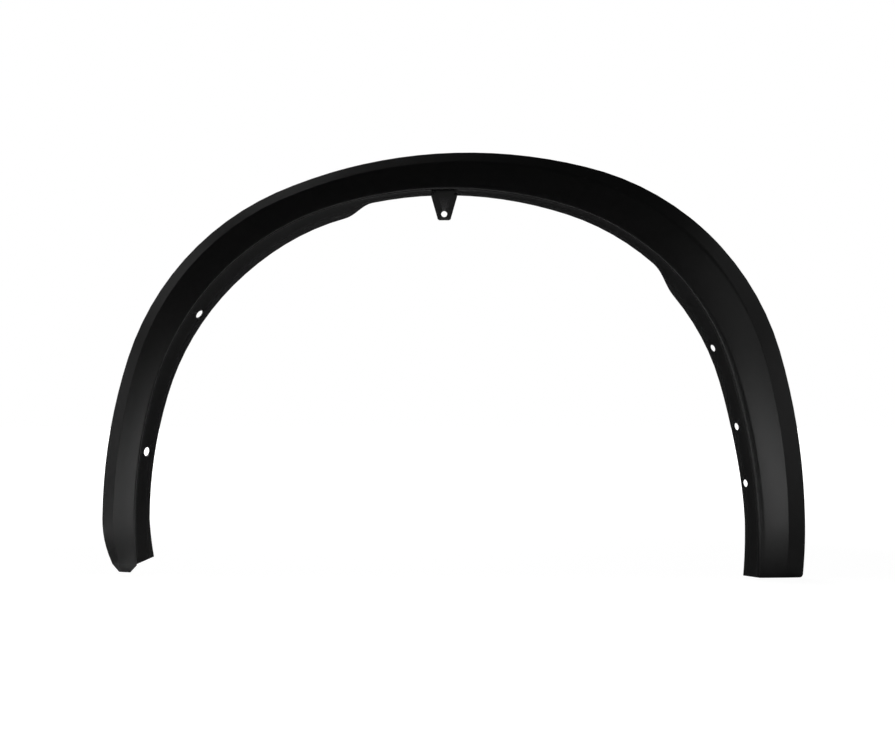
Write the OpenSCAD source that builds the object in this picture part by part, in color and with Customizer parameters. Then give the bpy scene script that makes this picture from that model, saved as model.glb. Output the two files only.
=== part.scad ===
// Wheel arch trim for a front wheel: one injection moulding in grained black plastic.
// X runs from the front leg to the rear leg, -Y points away from the car, Z is up.
// The origin is the crown screw hole, on the outer face of its tab.

/* [Lip line] */
// Wheel centre below the crown screw
hub_drop = 398; // [388:1:408]
// Wheel centre behind the crown screw
hub_back = 4; // [0:1:10]
// Crown of the lip line above the wheel centre
lip_rise = 430; // [424:1:436]
// Crown of the lip line behind the crown screw
lip_crown_back = 8; // [4:1:12]
// Radius of the lip line over the crown
lip_crown_r = 526; // [500:1:550]
// Turn of the crown arc towards the front, in degrees
lip_front_turn = 17; // [14:1:20]
// Radius of the lip line on the front shoulder
lip_front_r = 348; // [342:1:354]
// Turn of the front shoulder arc, in degrees
lip_front_sweep = 57; // [54:1:60]
// Radius of the lip line down the front leg
lip_front_leg_r = 635; // [600:5:680]
// Turn of the crown arc towards the rear, in degrees
lip_rear_turn = 17; // [14:1:20]
// Radius of the lip line on the rear shoulder
lip_rear_r = 320; // [314:1:326]
// Turn of the rear shoulder arc, in degrees
lip_rear_sweep = 56; // [53:1:59]
// Radius of the lip line down the rear leg
lip_rear_leg_r = 822; // [780:2:860]

/* [Outer edge] */
// Width of the trim at the crown, from the lip line to the outer edge
crown_w = 48.5; // [44:0.5:53]
// Crown of the outer edge behind the crown of the lip line
edge_back = 24; // [20:1:28]
// How much flatter than the lip line the outer edge is over the crown, as extra radius
edge_crown_more = 114; // [94:2:134]
// Extra turn of the outer edge's crown arc towards the front, in degrees
edge_front_turn_more = 5.5; // [3:0.5:8]
// Extra radius of the outer edge on the front shoulder
edge_front_more = 9.5; // [4:0.5:15]
// How much less the outer edge turns on the front shoulder, in degrees
edge_front_sweep_less = 7.5; // [5:0.5:10]
// Extra radius of the outer edge down the front leg
edge_front_leg_more = 65; // [35:5:95]
// How much less the outer edge's crown arc turns towards the rear, in degrees
edge_rear_turn_less = 2.5; // [0:0.5:5]
// Extra radius of the outer edge on the rear shoulder
edge_rear_more = 28; // [22:0.5:34]
// Extra turn of the outer edge on the rear shoulder, in degrees
edge_rear_sweep_more = 3.5; // [1:0.5:6]
// Extra radius of the outer edge down the rear leg
edge_rear_leg_more = 14; // [0:2:30]

/* [Stations] */
// Polar angle from the wheel centre above which the front leg's section starts to change
at_front = 175; // [170:1:180]
// Polar angle where the section of the crown starts
at_crown_front = 118; // [112:1:124]
// Polar angle where the section of the crown ends
at_crown_rear = 98; // [92:1:104]
// Polar angle of the rear shoulder, where the crease has faded
at_rear_shoulder = 56; // [52:1:60]
// Polar angle below which the section of the rear leg holds
at_rear = 22; // [18:1:26]

/* [Legs] */
// Front leg below the wheel centre
front_leg = 58; // [45:1:65]
// Rear leg below the wheel centre
rear_leg = 76.5; // [60:0.5:85]
// Radius at which the outer edge tucks in at the front toe
toe_r = 165; // [130:5:210]
// How much of that tuck narrows the shoulder, as a share
toe_share = 0.5; // [0.3:0.1:0.7]
// Rounding of the rear leg's lower outer corner
heel_r = 4; // [2:0.5:6]
// Slope of the front flange's end, up from the lip to the free edge, in degrees
toe_slope = 22; // [16:1:30]
// Slope of the rear flange's end, up from the lip to the free edge, in degrees
heel_slope = 9; // [5:1:16]
// Slope of the rear leg's end, up from the rim to the lip, in degrees
heel_lift = 5; // [0:1:8]
// How far the end of the front leg curls back under the car
toe_under = 2; // [0:0.5:4]
// How far the end of the rear leg curls back under the car
heel_under = 5; // [0:0.5:8]
// How far the front leg follows the wing in plan
bow_front = 30; // [15:1:40]
// How far the rear leg follows the wing in plan
bow_rear = 10; // [4:1:20]

/* [Section] */
// Wall of the moulding
wall = 2.5; // [2:0.1:2.9]
// Height of the square rim that meets the wing
rim_h = 1; // [0.5:0.1:1.5]
// Width of the shoulder on the front leg
shoulder_front = 17; // [14:0.5:20]
// Width of the shoulder at the crown
shoulder_crown = 12.5; // [11:0.5:14]
// Width of the shoulder on the rear leg
shoulder_rear = 24.5; // [21:0.5:27]
// Height of the shoulder on the front leg
shoulder_front_h = 15; // [13:0.5:17]
// Height of the shoulder at the crown
shoulder_crown_h = 13; // [11.5:0.5:14.5]
// Height of the shoulder on the rear leg
shoulder_rear_h = 18; // [16:0.5:20]
// Slope of the main face in front of the crown, in degrees
face_slope_front = 17; // [12:1:20]
// Slope of the main face behind the crown, in degrees
face_slope_rear = 14; // [10:1:18]
// Crowning of the main face
face_crown = 0.7; // [0:0.1:1.5]
// Radius of the crease between shoulder and face where it is crisp
crease_r = 3.2; // [3:0.1:5]
// Radius of the crease over the rear shoulder, where it fades
crease_soft_r = 26; // [10:1:30]
// Radius of the lip where it is crisp
lip_r = 3; // [3:0.1:5]
// Radius of the lip down the rear leg
lip_soft_r = 9; // [4:0.5:12]
// Depth of the groove behind the lip
groove = 1.2; // [0.5:0.1:2]
// Width of each side of the groove's step
groove_w = 1.2; // [0.8:0.1:1.6]

/* [Flange] */
// Lean of the flange on the legs from straight back, in degrees
flange_lean = 33; // [28:1:36]
// Lean of the flange at the crown from straight back, in degrees
flange_crown_lean = 24; // [20:1:28]
// Width of the flange seen from the side, at the foot of the front leg
flange_toe = 19.5; // [17:0.5:22]
// Width of the flange on the front leg beside the wheel centre
flange_front = 17; // [15:0.5:20]
// Width of the flange on the front shoulder
flange_front_top = 20; // [17:0.5:22]
// Polar angle of the flange's widest place on the front shoulder
flange_front_top_at = 131; // [126:1:136]
// Width of the front flange where it steps down to the strip
flange_front_end = 18; // [16:0.5:20]
// Width of the narrow strip at the crown
strip = 8.5; // [7:0.5:10]
// Width of the narrow strip where it ends over the rear shoulder
strip_rear = 12; // [10:0.5:14]
// Width of the flange on the rear shoulder
flange_rear_top = 21; // [19:0.5:23]
// Width of the flange between the upper and middle rear holes
flange_rear_mid = 19.5; // [17.5:0.5:21]
// Width of the flange on the rear leg beside the wheel centre
flange_rear = 17.5; // [15:0.5:20]
// Width of the flange at the foot of the rear leg
flange_heel = 19; // [17:0.5:22]
// Polar angle where the front flange steps down to the strip
strip_from = 106; // [103:1:110]
// Polar angle where the strip steps down to the rear flange
strip_to = 48; // [44:1:52]
// Length of the front step along the arch, in degrees
front_step = 5.5; // [4:0.5:7]
// Length of the rear step along the arch, in degrees
rear_step = 6.5; // [5:0.5:8]

/* [Flange holes] */
// Diameter of the two holes in the front flange
front_hole_d = 12; // [10:0.5:14]
// Diameter of the three holes in the rear flange
rear_hole_d = 10; // [8:0.5:12]
// Polar angle of the lower front hole
front_low_at = 167.3; // [163:0.1:171]
// Polar angle of the upper front hole
front_high_at = 140.4; // [136:0.1:146]
// Front holes' distance from the flange's free edge
front_hole_edge = 15; // [11:0.5:18]
// Polar angle of the upper rear hole
rear_high_at = 32.9; // [28:0.1:38]
// Polar angle of the middle rear hole
rear_mid_at = 17.9; // [15:0.1:22]
// Polar angle of the lower rear hole
rear_low_at = 7; // [4:0.1:11]
// Distance of the upper and middle rear holes from the flange's free edge
rear_hole_edge = 10; // [8:0.5:12]
// Distance of the lower rear hole from the flange's free edge
rear_low_hole_edge = 7.2; // [7:0.1:9]

/* [Crown tab] */
// Diameter of the crown screw hole
tab_hole_d = 7.8; // [5:0.1:9]
// Thickness of the tab
tab_t = 3; // [2.5:0.1:4]
// Width of the tab where it leaves the strip
tab_top_w = 34; // [30:1:40]
// Width of the tab at its rounded end
tab_end_w = 18; // [16:1:22]
// Tab's end below the screw hole
tab_end = 8; // [7:0.5:10]
// Radius of the tab's end corners
tab_r = 3.5; // [2:0.5:5]
// Width of the window in the strip above the tab
window_w = 26.5; // [20:0.5:28]
// Pocket walls beside the window
pocket_t = 2; // [1.5:0.1:2.5]

/* [Back] */
// Number of gussets between face and flange in each bay between two holes
gussets = 2; // [1:1:3]
// Thickness of a gusset
gusset_t = 1.6; // [1.2:0.1:2]

/* [Clip seats] */
// Number of clip seats on the back of the face
seats = 8; // [4:1:8]
// Polar angle of the first clip seat
seats_from = 173; // [170:1:176]
// Polar angle of the last clip seat
seats_to = 14.5; // [12:0.5:17]
// Length of a clip seat along the arch
seat_l = 20; // [17:1:24]
// Width of a clip seat across the face
seat_w = 14; // [12:0.5:16]
// Wall of a clip seat
seat_t = 2; // [1.5:0.1:2.5]
// Width of the slot for the clip's neck
seat_slot = 7; // [6:0.5:8]
// Gap between the clip seats and the wing
seat_gap = 1.5; // [0.5:0.5:3]

/* [Front tongue] */
// Drop of the tongue below the front leg
tongue_drop = 12; // [8:0.5:15]
// Tongue's lean back towards the wing
tongue_back = 9; // [5:0.5:12]
// How far the tongue narrows at each side
tongue_taper = 10; // [5:0.5:12]
// Straight side of the tongue above its chamfers
tongue_side = 2; // [1:0.5:4]
// Step from the leg's outer skin back to the tongue
tongue_step = 0.8; // [0.4:0.1:1.4]

/* [Hidden] */
$fn = 48;
black = [0.1, 0.1, 0.105];
hub = [hub_back, -hub_drop];
// Reach of the legs from the screw that the plan bow is given at
leg_reach = 455;
coarse = 3;
fine = 0.75;
crease_steps = 4;
face_steps = 4;
lip_steps = 5;
web_inset = 1;
tongue_inset = 0.3;
lap = 1.2;
eps = 0.01;

// Direction at a turn from straight up, towards the front (side -1) or the rear (side 1)
function up_dir(turn, side) = [side * sin(turn), cos(turn)];

// Half of a line of three tangent arcs, each as centre, radius and the polar angle where it ends
function half_line(crown, crown_r, side, turn, r, sweep, leg_r) =
    let (
        c0 = crown - [0, crown_r],
        c1 = c0 + (crown_r - r) * up_dir(turn, side),
        c2 = c1 + (r - leg_r) * up_dir(turn + sweep, side),
        j1 = c1 + r * up_dir(turn, side) - hub,
        j2 = c1 + r * up_dir(turn + sweep, side) - hub
    )
    [[c0, crown_r, atan2(j1.y, j1.x)], [c1, r, atan2(j2.y, j2.x)], [c2, leg_r, 0]];

lip_crown = hub + [lip_crown_back - hub_back, lip_rise];
lip_line = [
    half_line(lip_crown, lip_crown_r, -1, lip_front_turn, lip_front_r, lip_front_sweep, lip_front_leg_r),
    half_line(lip_crown, lip_crown_r, 1, lip_rear_turn, lip_rear_r, lip_rear_sweep, lip_rear_leg_r)
];
edge_crown = lip_crown + [edge_back, crown_w];
edge_crown_r = lip_crown_r + edge_crown_more;
edge_line = [
    half_line(
        edge_crown, edge_crown_r, -1,
        lip_front_turn + edge_front_turn_more, lip_front_r + edge_front_more,
        lip_front_sweep - edge_front_sweep_less, lip_front_leg_r + edge_front_leg_more
    ),
    half_line(
        edge_crown, edge_crown_r, 1,
        lip_rear_turn - edge_rear_turn_less, lip_rear_r + edge_rear_more,
        lip_rear_sweep + edge_rear_sweep_more, lip_rear_leg_r + edge_rear_leg_more
    )
];

// Distance from a point along a ray to the circle around it
function to_circle(from, dir, c, r) =
    let (b = (c - from) * dir)
    b + sqrt(b * b - (from - c) * (from - c) + r * r);

// Distance from a ray's start to a line, where a ray is its start, direction and polar angle
function reach(ray, line) =
    let (
        a = ray[2],
        front = a > 90,
        half = line[front ? 0 : 1],
        past = [for (i = [0:1]) if (front ? a >= half[i][2] : a <= half[i][2]) i],
        k = len(past)
    )
    to_circle(ray[0], ray[1], half[k][0], half[k][1]);

// A value along the arch, eased between pairs of polar angle and value that run from front to rear
function ease(t) = (1 - cos(180 * min(max(t, 0), 1))) / 2;
function between(a, from, to) = from[1] + (to[1] - from[1]) * ease((from[0] - a) / (from[0] - to[0]));
function along(a, keys, i = 0) =
    i >= len(keys) - 1 ? keys[i][1] :
    a >= keys[i + 1][0] ? between(a, keys[i], keys[i + 1]) :
    along(a, keys, i + 1);

function shoulder_w(a) = along(a, [
    [at_front, shoulder_front],
    [at_crown_front, shoulder_crown],
    [at_crown_rear, shoulder_crown],
    [at_rear, shoulder_rear]
]);
function shoulder_h(a) = along(a, [
    [at_front, shoulder_front_h],
    [at_crown_rear, shoulder_crown_h],
    [at_rear, shoulder_rear_h]
]);
function face_slope(a) = along(a, [
    [at_crown_front, face_slope_front],
    [at_rear_shoulder, face_slope_rear]
]);
function crease_round(a) = along(a, [
    [at_crown_rear, crease_r],
    [at_rear_shoulder, crease_soft_r],
    [at_rear, crease_r]
]);
function lip_round(a) = along(a, [[at_rear_shoulder, lip_r], [at_rear, lip_soft_r]]);
function lean(a) = along(a, [
    [at_front, flange_lean],
    [at_crown_rear, flange_crown_lean],
    [at_rear_shoulder, flange_lean]
]);
function flange_arch(a) = along(a, [
    [at_front, flange_front],
    [flange_front_top_at, flange_front_top],
    [strip_from + front_step / 2, flange_front_end],
    [strip_from - front_step / 2, strip],
    [at_crown_rear, strip],
    [strip_to + rear_step / 2, strip_rear],
    [strip_to - rear_step / 2, flange_rear_top],
    [at_rear, flange_rear_mid],
    [0, flange_rear]
]);
function flange_w(a, drop) =
    drop <= 0 ? flange_arch(a) :
    a > 90 ? flange_front + (flange_toe - flange_front) * drop / front_leg :
    flange_rear + (flange_heel - flange_rear) * drop / rear_leg;

// How far the outer edge is drawn in below the wheel centre
function toe(drop) = toe_r - sqrt(toe_r * toe_r - drop * drop);
function heel(drop) =
    let (h = rear_leg - drop)
    h >= heel_r ? 0 : heel_r - sqrt(heel_r * heel_r - (heel_r - h) * (heel_r - h));
function edge_tuck(ray) = ray[3] <= 0 ? 0 : ray[2] > 90 ? toe(ray[3]) : heel(ray[3]);

// How far a leg's end curls back
function under(ray) =
    ray[3] <= 0 ? 0 :
    ray[2] > 90 ? toe_under * pow(ray[3] / front_leg, 2) :
    heel_under * pow(ray[3] / rear_leg, 2);

// Plan shape of the wing
function bow(x) = (x < 0 ? bow_front : bow_rear) * pow(x / leg_reach, 2);

// Direction of a heading in the section, and the side of it where the material lies
function heading(h) = [cos(h), sin(h)];
function inward(h) = [sin(h), -cos(h)];

// Rounded corner in the section, as pairs of point and heading
function corner(p, h_in, h_out, r, steps) =
    let (
        start = p - heading(h_in) * r * tan((h_in - h_out) / 2),
        c = start + r * inward(h_in)
    )
    [for (i = [0:steps]) let (h = h_in + (h_out - h_in) * i / steps) [c - r * inward(h), h]];

// The section at a ray, as pairs of outer and inner point, each as distance in from the edge and height
function section(ray, width) =
    let (
        a = ray[2],
        tuck = toe_share * edge_tuck(ray),
        crease = [shoulder_w(a) - tuck, shoulder_h(a)],
        lip = [width, shoulder_h(a) + (width - crease.x) * tan(face_slope(a))],
        h1 = atan2(crease.y - rim_h, crease.x),
        h2 = face_slope(a),
        h3 = lean(a) - 90,
        at_crease = corner(crease, h1, h2, crease_round(a), crease_steps),
        at_lip = corner(lip, h2, h3, lip_round(a), lip_steps),
        p = at_crease[crease_steps][0],
        q = at_lip[0][0],
        face = [for (i = [1:face_steps - 1])
            let (t = i / face_steps) [p + (q - p) * t - face_crown * 4 * t * (1 - t) * inward(h2), h2]],
        s = at_lip[lip_steps][0],
        free = lip + heading(h3) * flange_w(a, ray[3]) / sin(lean(a)),
        drop = groove * inward(h3),
        flange = [
            [s + heading(h3) * groove_w, h3],
            [s + heading(h3) * groove_w * 2 + drop, h3],
            [(s + free) / 2 + drop, h3],
            [free + drop, h3]
        ],
        skin = concat(at_crease, face, at_lip, flange),
        foot = wall / sin(h1)
    )
    concat(
        [[[0, 0], [foot - rim_h / tan(h1), 0]], [[0, rim_h], [foot, rim_h]]],
        [for (k = skin) [k[0], k[0] + wall * inward(k[1])]]
    );

// Rays: up the front leg, over the arch and down the rear leg, with the drop below the wheel centre
function leg_ray(drop, front) = [hub - [0, drop], [front ? -1 : 1, 0], front ? 180 : 0, drop];
function arch_ray(a) = [hub, [cos(a), sin(a)], a, 0];

// The point of the part at a ray, a distance in from the edge line and a height off the wing
function place(ray, edge, width, w, v) =
    let (
        p = ray[0] + ray[1] * (edge - w),
        front = ray[2] > 90,
        past_lip = max(0, w - width),
        full_rise = front ? tan(toe_slope) * past_lip : tan(heel_slope) * past_lip + tan(heel_lift) * v,
        rise = full_rise * max(0, ray[3]) / (front ? front_leg : rear_leg)
    )
    [p.x, tab_face - v + bow(p.x) + under(ray), p.y + rise];

// The section at a ray in space, as pairs of outer and inner point
function ring(ray) =
    let (edge = reach(ray, edge_line) - edge_tuck(ray), width = edge - reach(ray, lip_line))
    [for (k = section(ray, width)) [for (p = k) place(ray, edge, width, p.x, p.y)]];

function spread(from, to, step) =
    let (n = ceil(abs(to - from) / step))
    [for (i = [0:n - 1]) from + (to - from) * i / n];

rays = concat(
    [for (d = spread(front_leg, 0, 10)) leg_ray(d, true)],
    [for (a = concat(
        spread(180, strip_from + front_step / 2, coarse),
        spread(strip_from + front_step / 2, strip_from - front_step / 2, fine),
        spread(strip_from - front_step / 2, strip_to + rear_step / 2, coarse),
        spread(strip_to + rear_step / 2, strip_to - rear_step / 2, fine),
        spread(strip_to - rear_step / 2, 0, coarse)
    )) arch_ray(a)],
    [for (d = spread(0, rear_leg - heel_r, 12)) leg_ray(d, false)],
    [for (t = [90, 50, 20, 0]) leg_ray(rear_leg - heel_r * (1 - cos(t)), false)]
);

// Lofts closed loops of equal length into a solid, with flat fans or strips as its two ends
function skin_faces(loops, size) = [
    for (i = [0:loops - 2], j = [0:size - 1])
        let (a = i * size + j, b = i * size + (j + 1) % size, c = a + size, d = b + size)
        each [[a, d, b], [a, c, d]]
];
function strip_cap(first, size, far) = [
    for (j = [0:size / 2 - 2])
        let (a = first + j, b = first + j + 1, c = first + size - 2 - j, d = first + size - 1 - j)
        each far ? [[a, c, b], [a, d, c]] : [[a, b, c], [a, c, d]]
];
function fan_cap(first, size, far) = [
    for (j = [1:size - 2]) far ? [first, first + j + 1, first + j] : [first, first + j, first + j + 1]
];

// The outer skin and the inner skin of a ring as one closed loop
function loop_of(r) = concat([for (k = r) k[0]], [for (i = [len(r) - 1:-1:0]) r[i][1]]);

module shell() {
    loops = [for (r = rays) loop_of(ring(r))];
    size = len(loops[0]);
    polyhedron(
        points = [for (l = loops) each l],
        faces = concat(
            skin_faces(len(loops), size),
            strip_cap(0, size, false),
            strip_cap(size * (len(loops) - 1), size, true)
        )
    );
}

// Numbers of the section's points: last of the crease, first and last of the lip
crease_end = 2 + crease_steps;
lip_start = crease_end + face_steps;
lip_end = lip_start + lip_steps;
free_edge = lip_end + 4;

crown_ray = arch_ray(atan2(hub_drop, -hub_back));
crown_edge = reach(crown_ray, edge_line);
crown_width = crown_edge - reach(crown_ray, lip_line);
crown_section = section(crown_ray, crown_width);
// Height off the wing of the tab's outer face, which meets the strip's free edge
tab_face = crown_section[free_edge][0].y + tab_t / 2;

// Middle of the wall at one point of a ring
function mid(r, i) = (r[i][0] + r[i][1]) / 2;

// A flat web across the inside of the section between two of its points
module web(near, far, from, to) {
    a = ring(near);
    b = ring(far);
    size = to - from + 1;
    polyhedron(
        points = concat([for (i = [from:to]) mid(a, i)], [for (i = [from:to]) mid(b, i)]),
        faces = concat(skin_faces(2, size), fan_cap(0, size, false), fan_cap(size, size, true))
    );
}

// Degrees of arch that a length takes up at the lip
function degrees(l) = l / lip_rise * 180 / PI;

module gusset(a) {
    half = degrees(gusset_t) / 2;
    web(arch_ray(a + half), arch_ray(a - half), lip_start - 1, free_edge - 1);
}

// Evenly spaced gussets in each bay between neighbouring stops
module gussets_between(stops) {
    for (i = [0:len(stops) - 2], k = [1:gussets])
        gusset(stops[i] + (stops[i + 1] - stops[i]) * k / (gussets + 1));
}

function unit(v) = v / norm(v);

// Moves its children onto a surface, with Z along the normal and X along the arch
module on_surface(p, along_arch, normal) {
    z = unit(normal);
    y = unit(cross(z, along_arch));
    x = cross(y, z);
    multmatrix([for (i = [0:2]) [x[i], y[i], z[i], p[i]]]) children();
}

// A point on the middle of the flange's wall, and the directions along and across it
function flange_spot(a, down) =
    let (
        r = ring(arch_ray(a)),
        from = mid(r, lip_end + 1),
        across = unit(mid(r, free_edge) - from),
        lengthways = ring(arch_ray(a - 1))[free_edge - 1][0] - ring(arch_ray(a + 1))[free_edge - 1][0]
    )
    [from + across * down, unit(lengthways), unit(cross(across, lengthways))];

function flange_length(a) =
    let (r = ring(arch_ray(a)))
    norm(mid(r, free_edge) - mid(r, lip_end + 1));

module flange_hole(a, down, d) {
    s = flange_spot(a, down);
    on_surface(s[0], s[1], s[2]) cylinder(d = d, h = wall * 4, center = true);
}

module flange_holes() {
    for (a = [front_low_at, front_high_at])
        flange_hole(a, flange_length(a) - front_hole_edge, front_hole_d);
    for (a = [rear_high_at, rear_mid_at])
        flange_hole(a, flange_length(a) - rear_hole_edge, rear_hole_d);
    flange_hole(rear_low_at, flange_length(rear_low_at) - rear_low_hole_edge, rear_hole_d);
}

// The tab's outline in side view, narrowing to a rounded end
module tab_outline() {
    end_half = tab_end_w / 2;
    strip_z = lip_crown.y - strip;
    polygon([
        [-end_half, -tab_end + tab_r], [-end_half + tab_r, -tab_end],
        [end_half - tab_r, -tab_end], [end_half, -tab_end + tab_r],
        [tab_top_w / 2, strip_z], [tab_top_w / 2, strip_z + lap],
        [window_w / 2 + pocket_t, lip_crown.y + pocket_t * 2],
        [-window_w / 2 - pocket_t, lip_crown.y + pocket_t * 2],
        [-tab_top_w / 2, strip_z + lap], [-tab_top_w / 2, strip_z]
    ]);
    for (s = [-1, 1]) translate([s * (end_half - tab_r), -tab_end + tab_r]) circle(r = tab_r);
}

module tab() {
    translate([0, tab_t, 0]) rotate([90, 0, 0]) linear_extrude(height = tab_t) tab_outline();
}

// Walls of the pocket at each side of the window
module pocket_walls() {
    for (s = [-1, 1]) {
        a = atan2(lip_crown.y - hub.y, s * (window_w + pocket_t) / 2 - hub.x);
        half = degrees(pocket_t) / 2;
        web(arch_ray(a + half), arch_ray(a - half), lip_start - 1, free_edge);
    }
}

// The window behind the lip, through which the tab's root shows
module window() {
    back = crown_section[lip_end + 2][0].y;
    translate([-window_w / 2, tab_face - back, lip_crown.y - strip - lap * 2])
        cube([window_w, back - tab_face - eps, strip + lap * 2 + wall]);
}

// Webs that close the legs just above their ends
module toe_web() {
    drop = front_leg - web_inset;
    web(leg_ray(drop, true), leg_ray(drop - wall, true), 1, free_edge);
}

module heel_web() {
    drop = rear_leg - heel_r - web_inset;
    web(leg_ray(drop - wall, false), leg_ray(drop, false), 1, free_edge);
}

// A keyhole seat for a push clip, standing on the back of the face and open towards the outer edge
module clip_seat(a) {
    at = (crease_end + lip_start) / 2;
    base = ring(arch_ray(a))[at][1];
    lengthways = ring(arch_ray(a - 1))[at][1] - ring(arch_ray(a + 1))[at][1];
    h = tab_face + bow(base.x) - base.y - seat_gap;
    half = seat_w / 2;
    tilt = half * tan(face_slope(a));
    on_surface(base, lengthways, [0, 1, 0])
        difference() {
            rotate([90, 0, 90]) linear_extrude(height = seat_l, center = true)
                polygon([[-half, tilt - lap], [half, -tilt - lap], [half, h], [-half, h]]);
            translate([seat_t - seat_l / 2, -seat_w, -h])
                cube([seat_l - seat_t * 2, seat_w * 1.5 - seat_t, h * 2 - seat_t]);
            cylinder(d = seat_slot, h = h * 2);
            translate([-seat_slot / 2, -seat_w, 0]) cube([seat_slot, seat_w, h * 2]);
        }
}

module clip_seats() {
    for (i = [0:seats - 1]) clip_seat(seats_from + (seats_to - seats_from) * i / (seats - 1));
}

// The front leg's skin from rim to lip, set back by a step, as one closed loop
function tongue_loop(drop) =
    let (r = ring(leg_ray(drop, true)))
    loop_of([for (i = [1:lip_start + 2]) [for (t = [0, wall]) r[i][0] + [0, tongue_step + t, 0]]]);

// The tongue carries the front leg's skin on downwards and back under the bumper, between two chamfers
module tongue() {
    root = tongue_loop(front_leg - web_inset - wall / 2);
    bend = tongue_loop(front_leg);
    end = [for (p = bend) p + [0, tongue_back, -tongue_drop]];
    size = len(bend);
    rim_x = bend[0].x + tongue_inset;
    lip_x = bend[size / 2 - 1].x;
    bend_z = bend[0].z;
    intersection() {
        polyhedron(
            points = concat(end, bend, root),
            faces = concat(
                skin_faces(3, size),
                strip_cap(0, size, false),
                strip_cap(size * 2, size, true)
            )
        );
        rotate([90, 0, 0]) linear_extrude(height = leg_reach, center = true) polygon([
            [rim_x, bend_z - tongue_side],
            [rim_x + tongue_taper, bend_z - tongue_drop - eps],
            [lip_x - tongue_taper, bend_z - tongue_drop - eps],
            [lip_x, bend_z - tongue_side],
            [lip_x, bend_z + wall * 2],
            [rim_x - tongue_inset * 2, bend_z + wall * 2],
            [rim_x - tongue_inset * 2, bend_z]
        ]);
    }
}

module arch_trim() {
    color(black)
    difference() {
        union() {
            shell();
            tab();
            pocket_walls();
            toe_web();
            heel_web();
            tongue();
            clip_seats();
            gussets_between([180, front_low_at, front_high_at, strip_from]);
            gussets_between([strip_to, rear_high_at, rear_mid_at, rear_low_at, 0]);
        }
        flange_holes();
        window();
        rotate([90, 0, 0]) cylinder(d = tab_hole_d, h = tab_t * 4, center = true);
    }
}

arch_trim();
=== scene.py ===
# %% [markdown]
# # Wheel arch trim in grained black plastic
#
# A wheel arch trim is one long injection moulding. It frames the opening in the front wing of a
# car, covers the cut edge of the sheet metal and takes the stones that the tyre throws up. Seen
# from the side it has three bands: a shoulder that rises from the wing, a broad face that carries
# on outwards, and a flange that turns back into the arch behind a rounded lip.
#
# The imported model is the fixed frame for everything below. It already has the true shape, so the
# lesson is about what turns a bare solid into a moulding: shading that flows along the arch, a
# grained skin, and light that lets black plastic show form.

# %% Load the frame
import bpy
import math
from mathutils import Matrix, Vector


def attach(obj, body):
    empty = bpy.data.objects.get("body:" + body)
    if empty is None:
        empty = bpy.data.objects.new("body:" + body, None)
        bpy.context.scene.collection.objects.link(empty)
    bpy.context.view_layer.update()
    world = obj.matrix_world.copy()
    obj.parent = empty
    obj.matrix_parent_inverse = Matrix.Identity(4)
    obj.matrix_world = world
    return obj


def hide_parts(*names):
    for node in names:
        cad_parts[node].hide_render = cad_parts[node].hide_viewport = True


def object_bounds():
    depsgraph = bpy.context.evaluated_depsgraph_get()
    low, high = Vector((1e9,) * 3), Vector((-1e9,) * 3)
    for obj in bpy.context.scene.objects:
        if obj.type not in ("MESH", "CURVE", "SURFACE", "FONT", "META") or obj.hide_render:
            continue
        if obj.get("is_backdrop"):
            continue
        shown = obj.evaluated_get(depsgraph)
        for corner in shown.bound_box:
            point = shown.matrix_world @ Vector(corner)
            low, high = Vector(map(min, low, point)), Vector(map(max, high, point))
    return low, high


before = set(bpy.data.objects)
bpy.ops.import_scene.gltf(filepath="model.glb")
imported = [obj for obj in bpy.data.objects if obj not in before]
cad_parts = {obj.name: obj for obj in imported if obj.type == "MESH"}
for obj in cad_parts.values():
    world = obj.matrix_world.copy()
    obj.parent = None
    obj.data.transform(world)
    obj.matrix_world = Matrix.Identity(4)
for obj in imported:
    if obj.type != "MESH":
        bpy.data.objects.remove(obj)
cad_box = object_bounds()
low, high = cad_box
MM = 0.001
print("CAD box in mm:", [round(v / MM, 1) for v in (*low, *high)])

# %% [markdown]
# ## One object at a time
#
# Most of Blender's operators act on whatever is selected, and loading the frame leaves its nodes
# selected. Each step therefore starts by selecting its own object alone. The second helper opens
# edit mode for the length of a with block, so that no step leaves the mesh in the wrong mode.

# %% Selection helpers
from contextlib import contextmanager


def take(thing):
    """Makes one object the only selected one, and the active one."""
    bpy.ops.object.select_all(action="DESELECT")
    thing.select_set(True)
    bpy.context.view_layer.objects.active = thing


@contextmanager
def edit_mode(thing, elements="FACE"):
    """Edit mode on one object, with nothing selected at the start."""
    take(thing)
    bpy.ops.object.mode_set(mode="EDIT")
    bpy.ops.mesh.select_mode(type=elements)
    bpy.ops.mesh.select_all(action="DESELECT")
    yield
    bpy.ops.object.mode_set(mode="OBJECT")


def count(thing):
    """A short description of a mesh for the print-outs."""
    mesh = thing.data
    return f"{thing.name}: {len(mesh.vertices)} points, {len(mesh.polygons)} faces"


# %% [markdown]
# ## The moulding
#
# The trim is a single piece on the car, so it is a single piece here. It could be swept again from
# a profile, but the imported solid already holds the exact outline, the fading crease, the holes and
# the tab, and a second sweep could only disagree with it. So the finished piece starts as a copy
# of the solid's mesh. That mesh arrives as loose triangles, each with its own three corners, which
# shades as facets. Welding the corners makes it one skin, and joining the triangles back into
# quads gives the later steps clean edges to work along.

# %% Copy and weld the solid
WELD = 0.002 * MM
QUAD_BEND = math.radians(8)
QUAD_SKEW = math.radians(60)
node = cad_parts["arch_trim"]
trim = bpy.data.objects.new("moulding", node.data.copy())
bpy.context.scene.collection.objects.link(trim)
print("Loose", count(trim))
with edit_mode(trim):
    bpy.ops.mesh.select_all(action="SELECT")
    bpy.ops.mesh.remove_doubles(threshold=WELD)
    bpy.ops.mesh.tris_convert_to_quads(face_threshold=QUAD_BEND, shape_threshold=QUAD_SKEW)
print("Welded", count(trim))

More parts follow.
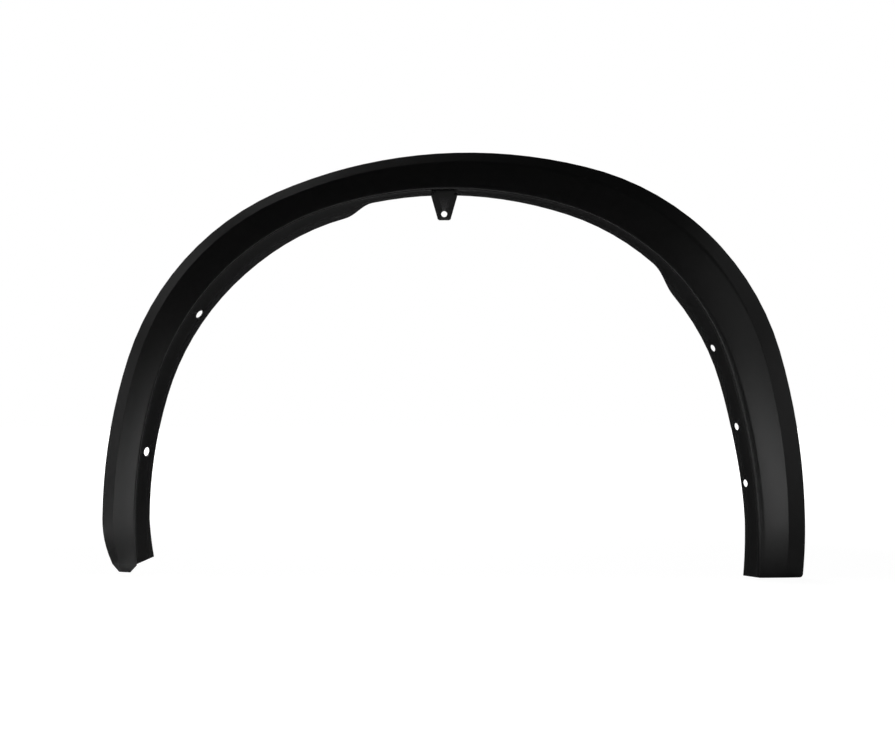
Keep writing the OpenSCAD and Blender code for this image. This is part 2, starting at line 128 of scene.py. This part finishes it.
# %% [markdown]
# ## Smooth along the arch, sharp where the tool was sharp
#
# The crease and the lip are rounds made of a few flat steps. Smooth shading joins the steps, while
# corners of more than thirty degrees stay crisp. Weighted normals let the big faces decide, so
# that the narrow strips at a corner don't bend the light on the broad face beside them.

# %% Shade the skin
SMOOTH_BELOW = math.radians(30)
take(trim)
bpy.ops.object.shade_smooth_by_angle(angle=SMOOTH_BELOW)
weighted = trim.modifiers.new("weighted", "WEIGHTED_NORMAL")
weighted.keep_sharp = True
bpy.ops.object.modifier_apply(modifier=weighted.name)
print("Shaded", count(trim))

# %% [markdown]
# ## Three finishes on one skin
#
# Only the side that is seen on the car is etched in the tool. The flange behind the lip comes off
# plain polished steel, and the back comes off the core, which is left with a matt, spark-eroded
# face. Which finish a point has depends on where its normal looks: in at the wheel, back at the
# wing, or out. WHEEL is the centre of the arch's round part, where the wheel's hub would be. Two
# numbers are stored on the mesh itself, so the material follows the shape.

# %% Mark the finishes
WHEEL = Vector((4, 0, -398)) * MM
INWARD_FROM, INWARD_TO = 0.50, 0.75
BACK_FROM, BACK_TO = 0.0, 0.3


def smooth_step(value, start, end):
    """Nought before start, one after end, and a soft curve between them."""
    share = min(max((value - start) / (end - start), 0), 1)
    return share * share * (3 - 2 * share)


mesh = trim.data
grained = mesh.attributes.new("grained", "FLOAT", "POINT")
matt = mesh.attributes.new("matt", "FLOAT", "POINT")
for point in mesh.vertices:
    inward = Vector((WHEEL.x - point.co.x, 0, WHEEL.z - point.co.z)).normalized()
    back = smooth_step(point.normal.y, BACK_FROM, BACK_TO)
    plain = smooth_step(point.normal.dot(inward), INWARD_FROM, INWARD_TO)
    matt.data[point.index].value = back
    grained.data[point.index].value = (1 - back) * (1 - plain)
print("Grained points:", sum(spot.value > 0.5 for spot in mesh.attributes["grained"].data))
print("Matt points:", sum(spot.value > 0.5 for spot in mesh.attributes["matt"].data))

# %% [markdown]
# ## Shader maths as plain expressions
#
# A node material is a small program. Written with one class that stands for a socket, the maths
# reads like maths: 1 - mask adds a Math node by itself. Every other node comes from one method,
# which sets the node's own settings first and then its sockets.

# %% A socket that can be calculated with
class Wire:
    """One output socket, with arithmetic that adds Math nodes behind it."""

    def __init__(self, socket):
        self.socket = socket

    def maths(self, operation, first, second):
        made = self.socket.id_data.nodes.new("ShaderNodeMath")
        made.operation = operation
        for slot, value in zip(made.inputs, (first, second)):
            if isinstance(value, Wire):
                self.socket.id_data.links.new(value.socket, slot)
            else:
                slot.default_value = value
        return Wire(made.outputs[0])

    def __add__(self, other):
        return self.maths("ADD", self, other)

    def __mul__(self, other):
        return self.maths("MULTIPLY", self, other)

    def __sub__(self, other):
        return self.maths("SUBTRACT", self, other)

    def __rsub__(self, other):
        return self.maths("SUBTRACT", other, self)

    __radd__ = __add__
    __rmul__ = __mul__


class Tree:
    """A node tree that starts empty and is filled by one method."""

    def __init__(self, tree):
        self.tree = tree
        tree.nodes.clear()

    def node(self, kind, settings=None, sockets=None, output=0):
        """Adds a node, sets its own settings, then its sockets by name or number, and returns one output."""
        made = self.tree.nodes.new("ShaderNode" + kind)
        for name, value in (settings or {}).items():
            setattr(made, name, value)
        for key, value in (sockets or {}).items():
            if isinstance(value, Wire):
                self.tree.links.new(value.socket, made.inputs[key])
            else:
                made.inputs[key].default_value = value
        return Wire(made.outputs[output]) if made.outputs else None


# %% [markdown]
# ## Grained black plastic
#
# The moulding is talc-filled polypropylene, black right through. The steel tool is etched, so the
# skin has a fine pebble grain about a millimetre across and a few hundredths deep. The grain
# breaks up the gloss more than it shows: from a step away it reads as a soft sheen. The colour is
# almost nothing, so what the eye sees is roughness. It varies a little from place to place, as the
# plastic cooled at its own pace, and dust settles in the grain's valleys. The flange keeps only
# the varying gloss. The back has no grain but a fine speckle and a matt roughness. Its lighter grey
# colour is painted light: a painted sheen that stands in for the light its matt face scatters.

# %% Trim plastic
GRAIN = 1.1 * MM
GRAIN_DEPTH = 0.03 * MM
SPECKLE = 0.35 * MM
PATCH = 70 * MM
CELL_SHARE, SPECKLE_SHARE, ERODED_SHARE = 0.8, 0.35, 0.5
VALLEY = 0.35
VALLEY_DUST = 1.4
PLAIN_ROUGH, GRAIN_ROUGH, CORE_ROUGH = 0.09, 0.18, 0.35
PATCH_ROUGH, SPECKLE_ROUGH = 0.08, 0.03
BLACK = (0.0080, 0.0080, 0.0083, 1)
DUSTY = (0.0125, 0.0124, 0.0122, 1)
# Painted sheen: the back's lighter grey stands in for light scattered by its matt face, not a colour of the
# plastic.
PAINTED_MATT_SHEEN = (0.0200, 0.0200, 0.0202, 1)


def trim_plastic():
    material = bpy.data.materials.new("trim_plastic")
    material.use_nodes = True
    tree = Tree(material.node_tree)
    place = tree.node("TexCoord", output="Object")
    cells = tree.node(
        "TexVoronoi", {"feature": "SMOOTH_F1"}, {"Vector": place, "Scale": 1 / GRAIN, "Smoothness": 0.6}
    )
    speckle = tree.node("TexNoise", None, {"Vector": place, "Scale": 1 / SPECKLE, "Detail": 2.0})
    patches = tree.node("TexNoise", None, {"Vector": place, "Scale": 1 / PATCH, "Detail": 3.0})
    skin = tree.node("Attribute", {"attribute_type": "GEOMETRY", "attribute_name": "grained"}, output="Fac")
    core = tree.node("Attribute", {"attribute_type": "GEOMETRY", "attribute_name": "matt"}, output="Fac")
    height = (cells * CELL_SHARE + speckle * SPECKLE_SHARE) * skin + speckle * core * ERODED_SHARE
    bump = tree.node("Bump", None, {"Strength": 0.5, "Distance": GRAIN_DEPTH, "Height": height})
    valleys = (cells - VALLEY) * VALLEY_DUST
    dust = tree.node("Math", {"operation": "MULTIPLY", "use_clamp": True}, {0: valleys, 1: patches})
    front = tree.node("Mix", {"data_type": "RGBA"}, {0: dust, 6: BLACK, 7: DUSTY}, output=2)
    # The matt back gets the lighter grey, a painted sheen; its roughness below is the real matt finish.
    colour = tree.node("Mix", {"data_type": "RGBA"}, {0: core, 6: front, 7: PAINTED_MATT_SHEEN}, output=2)
    rough = PLAIN_ROUGH + skin * GRAIN_ROUGH + core * CORE_ROUGH
    rough = rough + patches * PATCH_ROUGH + speckle * SPECKLE_ROUGH
    shader = tree.node(
        "BsdfPrincipled", None, {"Base Color": colour, "Roughness": rough, "Normal": bump, "IOR": 1.49}
    )
    tree.node("OutputMaterial", None, {"Surface": shader})
    return material


trim.data.materials.clear()
trim.data.materials.append(trim_plastic())
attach(trim, "root")
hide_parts("arch_trim")
print("Finished", trim.data.materials[0].name)

# %% [markdown]
# ## A floor that fades to white
#
# The trim stands on a floor that looks like white paper. A floor that is only lit would turn grey
# towards the horizon, and a floor that only glows would lose the trim's shadow. So the camera sees
# a mix: near the trim four tenths of it is the lit paper, with the shadow in it, and by two metres
# away it is all white. Reflections of the far floor straight behind see the same white, as they do
# in the backdrop below. Every other ray sees the lit paper alone, so the floor throws no false
# light. The paper is a mid grey, since the flange mirrors it at a slant and a paler one would wash
# it out.

# %% Floor
FLOOR_SIZE = 14
FLOOR_GAP = 0.0005
PAPER = (0.28, 0.28, 0.28, 1)
PAPER_WHITE = 1.58
LIT_SHARE = 0.4
FADE_FROM, FADE_TO = 0.7, 2.0
BEHIND_FROM, BEHIND_TO = 0.90, 0.98
bpy.ops.object.select_all(action="DESELECT")
bpy.ops.mesh.primitive_plane_add(size=FLOOR_SIZE, location=(0, 0, low.z - FLOOR_GAP))
floor = bpy.context.object
floor.name = "floor"
floor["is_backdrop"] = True
paper = bpy.data.materials.new("paper_floor")
paper.use_nodes = True
tree = Tree(paper.node_tree)
seen = tree.node("LightPath", output="Is Camera Ray")
place = tree.node("TexCoord", output="Object")
away = tree.node("VectorMath", {"operation": "LENGTH"}, {0: place}, output="Value")
fade = tree.node(
    "MapRange", {"interpolation_type": "SMOOTHSTEP"},
    {"Value": away, "From Min": FADE_FROM, "From Max": FADE_TO},
)
glossy = tree.node("LightPath", output="Is Glossy Ray")
shiny = glossy + tree.node("LightPath", output="Is Transmission Ray")
bearing = tree.node("VectorMath", {"operation": "NORMALIZE"}, {0: place})
ahead = tree.node("SeparateXYZ", None, {0: bearing}, output="Y")
behind = tree.node(
    "MapRange", {"interpolation_type": "SMOOTHSTEP"},
    {"Value": ahead, "From Min": BEHIND_FROM, "From Max": BEHIND_TO},
)
camera_share = seen * (1 - (1 - fade) * LIT_SHARE)
gloss_share = (1 - seen) * shiny * behind * fade * (1 / PAPER_WHITE)
lit = tree.node("BsdfPrincipled", None, {"Base Color": PAPER, "Roughness": 0.9})
glow = tree.node("Emission", None, {"Strength": PAPER_WHITE})
both = tree.node("MixShader", None, {0: camera_share + gloss_share, 1: lit, 2: glow})
tree.node("OutputMaterial", None, {"Surface": both})
floor.data.materials.append(paper)
print("Floor", round(FLOOR_GAP / MM, 1), "mm below the trim")

# %% [markdown]
# ## A dark room with a white backdrop
#
# Black plastic shows nothing but reflections, so what surrounds it is its paint. The world is a
# dim, even grey that keeps the shade from going dead. Straight behind the trim it is a white
# backdrop, which the camera sees and which glossy and clear surfaces show as well. The mask is the
# direction's own Y, so it belongs to the room and stays put when the camera moves.

# %% World
DIM = 0.028
world = bpy.data.worlds.new("studio")
bpy.context.scene.world = world
world.use_nodes = True
sky = Tree(world.node_tree)
seen = sky.node("LightPath", output="Is Camera Ray")
glossy = sky.node("LightPath", output="Is Glossy Ray")
shiny = glossy + sky.node("LightPath", output="Is Transmission Ray")
heading = sky.node("SeparateXYZ", None, {0: sky.node("TexCoord", output="Generated")}, output="Y")
behind = sky.node(
    "MapRange", {"interpolation_type": "SMOOTHSTEP"},
    {"Value": heading, "From Min": BEHIND_FROM, "From Max": BEHIND_TO},
)
dim = sky.node("Background", None, {"Color": (1, 1, 1, 1), "Strength": DIM})
white = sky.node("Background", None, {"Color": (1, 1, 1, 1), "Strength": 1.0})
both = sky.node("MixShader", None, {0: seen + (1 - seen) * shiny * behind, 1: dim, 2: white})
sky.node("OutputWorld", None, {"Surface": both})
print("World", DIM, "all round, white behind")

# %% [markdown]
# ## Softboxes all round
#
# Each band of the trim faces its own way, so each needs its own light to be seen. Low boxes in
# front, left and right, run down the faces of the legs and fade towards the crown. A low and a
# high panel at each side draw the shoulder, and two boxes high behind on the left carry that
# line over the crown. Lamps above the floor make the paper shine up into the lip and the tongue
# under the front leg, and a box straight behind shows the ribs and clip seats on the back.

# %% Lamps
def softbox(name, centre, target, width, height, radiance, spread=math.pi):
    """A rectangular lamp of even brightness, aimed at a point."""
    data = bpy.data.lights.new(name, "AREA")
    data.shape = "RECTANGLE"
    data.size, data.size_y = width, height
    data.energy = radiance * math.pi * width * height
    data.spread = spread
    lamp = bpy.data.objects.new(name, data)
    lamp.visible_camera = False
    lamp.location = centre
    lamp.rotation_euler = (Vector(target) - Vector(centre)).to_track_quat("-Z", "Y").to_euler()
    bpy.context.scene.collection.objects.link(lamp)


HEART = (0, 0, -0.2)
CROWN = (0, 0, 0)
LEFT_LEG = (-0.35, 0, -0.3)
RIGHT_LEG = (0.35, 0, -0.3)
PAPER_Z = -0.47
softbox("left_front", (-1.75, -1.45, -0.36), LEFT_LEG, 0.8, 0.25, 3.3)
softbox("left_far", (-2.15, -0.75, -0.36), LEFT_LEG, 0.7, 0.3, 1.5)
softbox("right_front", (1.75, -1.45, -0.36), RIGHT_LEG, 0.9, 0.25, 4.3)
softbox("left_low", (-2.3, 0.3, 0.0), HEART, 1.0, 0.8, 0.36)
softbox("left_high", (-2.1, 0.3, 1.0), HEART, 1.0, 0.9, 0.42)
softbox("right_low", (2.3, 0.3, 0.0), HEART, 1.0, 0.8, 0.5)
softbox("right_high", (2.1, 0.3, 1.0), HEART, 1.0, 0.9, 0.48)
softbox("high_behind", (-1.1, 1.9, 2.1), CROWN, 1.9, 1.6, 0.58, math.radians(80))
softbox("high_middle", (-0.35, 1.9, 2.2), CROWN, 0.8, 1.2, 0.35, math.radians(80))
softbox("right_front_high", (1.75, -1.45, 0.45), HEART, 0.9, 0.7, 0.38)
softbox("front", (0, -3.0, 0.1), HEART, 0.5, 0.4, 1.4)
softbox("behind", (0, 2.4, 0.35), HEART, 1.6, 0.8, 2.2)
softbox("floor_lamp", (0, -0.45, 1.2), (0, -0.45, PAPER_Z), 1.3, 0.2, 6.7, math.radians(30))
softbox("floor_left", (-1.15, -0.1, 0.9), (-1.15, -0.1, PAPER_Z), 0.6, 0.6, 4.5, math.radians(35))
softbox("toe_floor", (-0.42, -0.16, 0.1), (-0.42, -0.03, PAPER_Z), 0.08, 0.05, 7.0, math.radians(16))
print("Lamps:", ", ".join(sorted(light.name for light in bpy.data.lights)))

# %% [markdown]
# ## The photograph's camera
#
# The picture looks straight at the trim's side, from about the middle of its height. One pixel is
# 1.3 mm at the trim, so the lens follows from the camera's distance and the picture's width. The
# distance itself shows in how much of the flange can be seen inside each leg.

# %% Camera
DISTANCE = 2.6
PHOTO_WIDTH_PX = 895
MM_PER_PX = 1.3
SENSOR = 36
VIEW_X, VIEW_Z = 0.0043, -0.2053
camera_data = bpy.data.cameras.new("camera")
camera = bpy.data.objects.new("camera", camera_data)
bpy.context.scene.collection.objects.link(camera)
camera.location = (VIEW_X, -DISTANCE, VIEW_Z)
camera.rotation_euler = (math.radians(90), 0, 0)
camera_data.sensor_width = SENSOR
camera_data.lens = SENSOR * DISTANCE / (PHOTO_WIDTH_PX * MM_PER_PX * MM)
bpy.context.scene.camera = camera
bpy.context.scene.view_settings.view_transform = "Standard"
print("Lens", round(camera_data.lens, 1), "mm at", DISTANCE, "m")

# %% [markdown]
# ## Does it still fit its box?
#
# Finishing must not make the part bigger. The box around the solid was kept at the start, and it is
# printed beside the box around the finished moulding, so that the two can be compared.

# %% Sizes
boxes = {"cad": [list(p) for p in cad_box], "visual": [list(p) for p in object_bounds()]}
for name, (least, most) in boxes.items():
    print(name, "box in mm:", [round((b - a) / MM, 2) for a, b in zip(least, most)])
